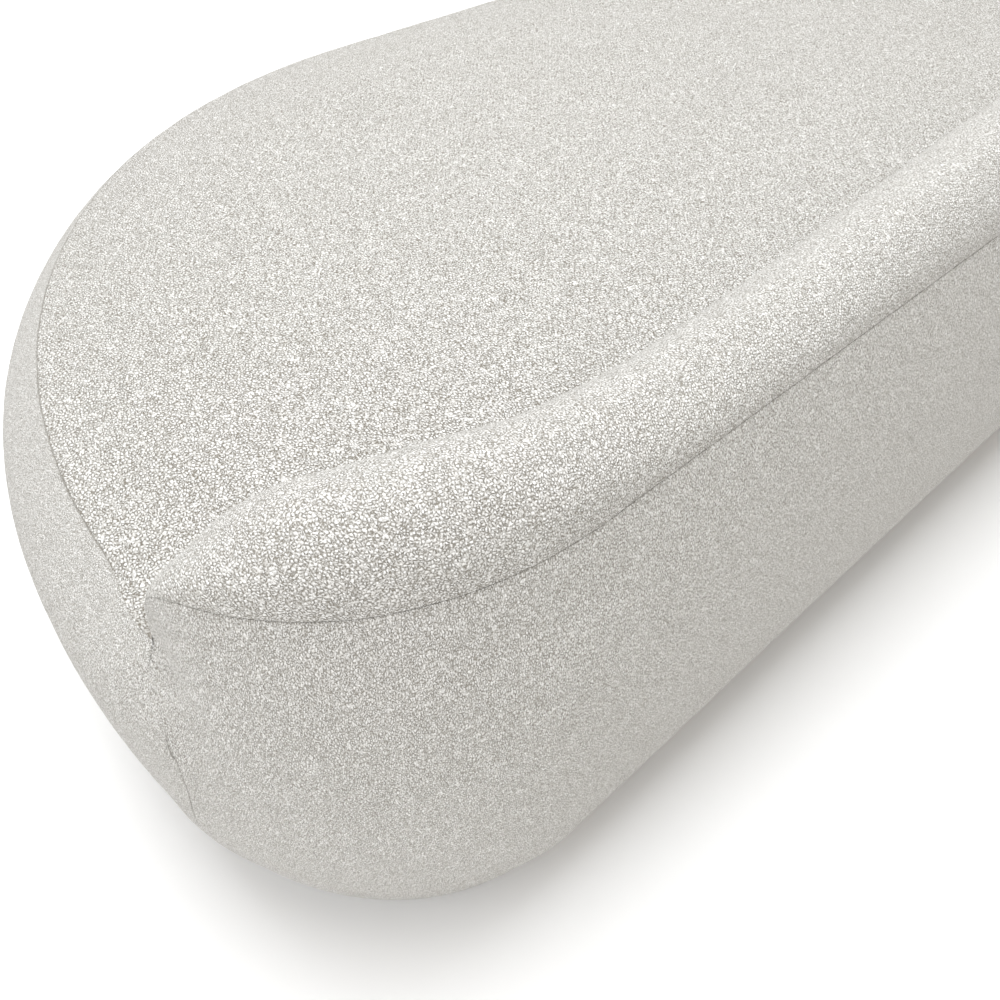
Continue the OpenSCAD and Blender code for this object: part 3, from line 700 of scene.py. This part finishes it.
def build_materials():
    return {
        "boucle_seat": boucle("boucle_seat", (1.0, 0.75, 1.0), 0.0026, 1.0),
        "boucle_top": boucle("boucle_top", (1.0, 0.75, 1.0), 0.0020, 0.90),
        "boucle_side": boucle("boucle_side", (1.2, 1.2, 0.6), 0.0019, 0.85),
        "leg_wood": timber("leg_wood", (0.50, 0.33, 0.19), (0.34, 0.20, 0.105), 2, 26.0, 0.35),
        "pine": timber("pine", (0.66, 0.49, 0.30), (0.50, 0.33, 0.17), 0, 40.0, 0.5),
        "plywood": plywood("plywood"),
        "bent_board": fibre_board("bent_board"),
        "steel": metal("steel", (0.55, 0.56, 0.58), 0.28),
        "glide_plastic": moulded("glide_plastic", (0.035, 0.035, 0.037)),
        "webbing": woven("webbing", (0.22, 0.15, 0.09), (0.07, 0.045, 0.03), 0.0011, (0.50, 0.40, 0.28)),
        "wadding": spongy("wadding", (0.88, 0.88, 0.86), (0.70, 0.70, 0.68), 260.0, 0.0012),
        "foam": spongy("foam", (0.80, 0.75, 0.60), (0.55, 0.49, 0.34), 520.0, 0.0006),
        "dust_cloth": felted("dust_cloth"),
    }


# ---- dust cloth under the body ----

DUST_IN = FOOT_IN + 0.060
DUST_CELL, DUST_RINGS = 0.012, 60
DUST_T = 0.0008
DUST_SAG = 0.003
DUST_GAP = 0.0004
LEG_CLEAR, LEG_TUCK = 0.010, 0.006        # the cut-out round a leg, and the points drawn to its edge
STAPLE_PITCH = 0.045
STAPLE_IN = DUST_IN + 0.009
STAPLE_W, STAPLE_R, STAPLE_SIDES = 0.011, 0.0006, 6
STAPLE_Z = UNDER_Z - 0.0012
STAPLE_PATH = ((-0.5, 0.002), (-0.5, 0.0), (-0.47, -0.0008), (0.47, -0.0008), (0.5, 0.0), (0.5, 0.002))


def leg_boxes():
    return [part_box(name) for name in frame["nodes"] if name.startswith(("leg_front", "leg_rear"))]


def dust_outline(inset, step):
    half = rim(np.arange(step / 2 - REAR_X, FRONT_MIDDLE, step))
    right = np.stack([half[:, 0] - inset * half[:, 2], half[:, 1] - inset * half[:, 3]], 1)
    left = right[::-1] * np.array([-1.0, 1.0])
    return np.concatenate([right, left])


def build_dust_cloth():
    """Rings from the outline to the middle, cut away round the legs, stretched with a slight sag."""
    loop = dust_outline(DUST_IN, DUST_CELL)
    shares = np.linspace(0, 1, DUST_RINGS + 1)[:-1]
    rows = loop[:, None, :] * (1 - shares[None, :, None])
    n, m = rows.shape[:2]
    legs = [((a.x + b.x) / 2, (a.y + b.y) / 2, (b.x - a.x) / 2 + LEG_CLEAR) for a, b in leg_boxes()]
    for x, y, r in legs:
        off = rows - np.array([x, y])
        far = np.linalg.norm(off, axis=2, keepdims=True)
        push = np.clip(r + LEG_TUCK - far, 0, None)
        rows = rows + off / np.maximum(far, 1e-6) * push * (far > 0.4 * r)
    sag = DUST_SAG * np.sin(np.pi * np.clip(shares, 0, 0.5)) ** 2
    z = UNDER_Z - DUST_GAP - np.broadcast_to(sag, (n, m))
    verts = np.concatenate([np.dstack([rows, z]).reshape(-1, 3), [[0, 0, UNDER_Z - DUST_SAG]]])
    faces = grid_faces(n, m, True, 1)
    faces += [(i * m + m - 1, n * m, (i + 1) % n * m + m - 1) for i in range(n)]
    kept = []
    for face in faces:
        centre = np.mean([verts[i] for i in face], axis=0)
        if all(math.hypot(centre[0] - x, centre[1] - y) > r for x, y, r in legs):
            kept.append(face)
    ob = add_mesh("dust_cloth", verts, kept)
    modify(ob, "WELD", merge_threshold=0.0001)
    area = sum(p.area for p in ob.data.polygons)
    modify(ob, "SOLIDIFY", thickness=DUST_T, offset=0)
    return ob, area


def build_staples():
    """Wire staples that hold the dust cloth to the hem all round."""
    loop = dust_outline(STAPLE_IN, STAPLE_PITCH)
    verts, faces = [], []
    sides = [k * math.tau / STAPLE_SIDES for k in range(STAPLE_SIDES)]
    for here, after in zip(loop, np.roll(loop, -1, axis=0)):
        along = after - here
        if np.linalg.norm(along) < STAPLE_PITCH / 2:
            continue
        along = along / np.linalg.norm(along)
        across = np.array([-along[1], along[0]])
        base = len(verts)
        for share, up in STAPLE_PATH:
            centre = here + along * share * STAPLE_W
            for a in sides:
                side = centre + across * STAPLE_R * math.cos(a)
                verts.append((side[0], side[1], STAPLE_Z + up + STAPLE_R * math.sin(a)))
        rings = [[base + STAPLE_SIDES * k + j for j in range(STAPLE_SIDES)]
                 for k in range(len(STAPLE_PATH))]
        for ring, after_ring in zip(rings, rings[1:]):
            for j in range(STAPLE_SIDES):
                k = (j + 1) % STAPLE_SIDES
                faces.append((ring[j], after_ring[j], after_ring[k], ring[k]))
        faces.append(tuple(rings[0]))
        faces.append(tuple(reversed(rings[-1])))
    return add_mesh("dust_cloth_staples", verts, faces)


# ---- camera, at the viewing angle of the reference ----

CAMERA_BESIDE, CAMERA_BEHIND, CAMERA_Z = 0.3132, 0.2075, 0.9292   # from the rear corner
CAMERA_YAW, CAMERA_PITCH = -2.314, 0.787
CAMERA_LENS = 33.1


def build_camera():
    data = bpy.data.cameras.new("camera")
    cam = bpy.data.objects.new("camera", data)
    scene.collection.objects.link(cam)
    cam.location = (REAR_X + CAMERA_BESIDE, HALF_D + CAMERA_BEHIND, CAMERA_Z)
    level = math.cos(CAMERA_PITCH)
    forward = Vector((level * math.cos(CAMERA_YAW), level * math.sin(CAMERA_YAW),
                      -math.sin(CAMERA_PITCH)))
    cam.rotation_mode = "QUATERNION"
    cam.rotation_quaternion = forward.to_track_quat("-Z", "Y")
    data.sensor_width = 36.0
    data.lens = CAMERA_LENS
    data.shift_x = 0.007
    data.shift_y = -0.009
    data.clip_start = 0.02
    scene.camera = cam


# ---- stage ----

def area_light(name, place, aim, power, size, colour):
    light = bpy.data.lights.new(name, "AREA")
    light.color = colour
    light.energy = power
    light.size = size
    ob = bpy.data.objects.new(name, light)
    ob.location = place
    ob.rotation_mode = "QUATERNION"
    ob.rotation_quaternion = (Vector(aim) - Vector(place)).to_track_quat("-Z", "Y")
    scene.collection.objects.link(ob)


FLOOR_SIZE = 16
SKY, SKY_STRENGTH = (1.0, 0.967, 0.912, 1), 0.69


def build_stage():
    bpy.ops.mesh.primitive_plane_add(size=FLOOR_SIZE, location=(0, 0, 0))
    floor = bpy.context.object
    floor.name = "floor"
    g = Graph("floor_paint")
    cloud = g.span(g.noise(g.place, 3.0), 0.3, 0.7, 0.0, 0.2)
    tone = g.mix(cloud, (0.98, 0.98, 0.98), (0.96, 0.96, 0.96))
    floor.data.materials.append(g.finish(tone, 0.8, Specular_IOR_Level=0.2))
    world = bpy.data.worlds.new("studio")
    world.use_nodes = True
    background = world.node_tree.nodes["Background"]
    background.inputs["Color"].default_value = SKY
    background.inputs["Strength"].default_value = SKY_STRENGTH
    scene.world = world
    area_light("key", (3.1, 0.8, 2.5), (0.9, 0.1, 0.4), 29, 2.0, (0.92, 0.95, 1.0))
    area_light("top", (0.3, -0.3, 4.2), (0.3, -0.1, 0.0), 160, 3.0, (0.935, 0.965, 1.0))
    scene.view_settings.view_transform = "Standard"


# ---- the model ----

build_camera()
materials = build_materials()

seat_rows, seat_hub = seat_grid()
panels = (
    (upholster("band_upholstery", band_grid(), ("v1", "u"), sign=-1),
     "band_cover", "boucle_side"),
    (upholster("back_upholstery", back_grid(), ("v0",), BACK_SEAM),
     "back_cover", "boucle_top"),
    (upholster("outer_back_upholstery", outer_grid(), ("v1", "u"), BACK_SEAM),
     "outer_back_cover", "boucle_side"),
    (upholster("seat_upholstery", seat_rows, ("v0",), wrap=True, hub=seat_hub),
     "seat_cover", "boucle_top"),
)
for piece, node, finish_slot in panels:
    piece.data.materials.append(materials["boucle_seat" if node == "seat_cover" else finish_slot])
    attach(piece, "root")
    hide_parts(node)

dust, dust_area = build_dust_cloth()
dust.data.materials.append(materials["dust_cloth"])
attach(dust, "root")
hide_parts("dust_cover")

staples = build_staples()
staples.data.materials.append(materials["steel"])
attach(staples, "root")

for part in frame["record"]["subparts"]:
    cad = frame["nodes"][part["node"]]
    cad.data.materials.clear()
    cad.data.materials.append(materials[part["material_slot"]])

build_stage()
